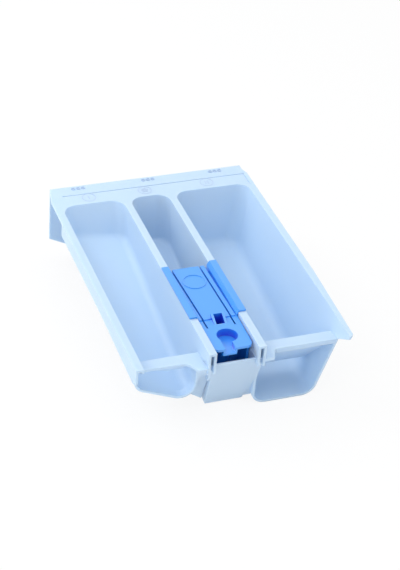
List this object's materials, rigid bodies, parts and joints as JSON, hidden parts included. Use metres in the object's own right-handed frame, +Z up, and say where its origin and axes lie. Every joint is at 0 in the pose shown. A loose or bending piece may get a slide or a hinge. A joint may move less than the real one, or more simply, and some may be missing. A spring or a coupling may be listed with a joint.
{
  "type": "detergent dispenser drawer",
  "caption": "Moulded detergent drawer with prewash, softener and main wash tubs, outlet end open to the rear, and a lift-out blue siphon insert in the softener tub.",
  "frame": {"origin": "on the rest plane under the middle of the tray's length and width", "axes": "+Z up, +Y from the outlet end towards the front flange, +X towards the main wash tub"},
  "size_m": [0.1916, 0.275, 0.0767],
  "materials": {
    "tray_plastic": "satin moulded pale blue",
    "insert_plastic": "smooth moulded bright blue"
  },
  "bodies": {
    "tray": {"tray": "tray_plastic"},
    "insert": {"softener_insert": "insert_plastic"}
  },
  "joints": [
    {"name": "insert_lift", "type": "slide", "parent": "tray", "child": "insert", "axis": [0, 0, 1], "range_m": [0, 0.08]}
  ]
}
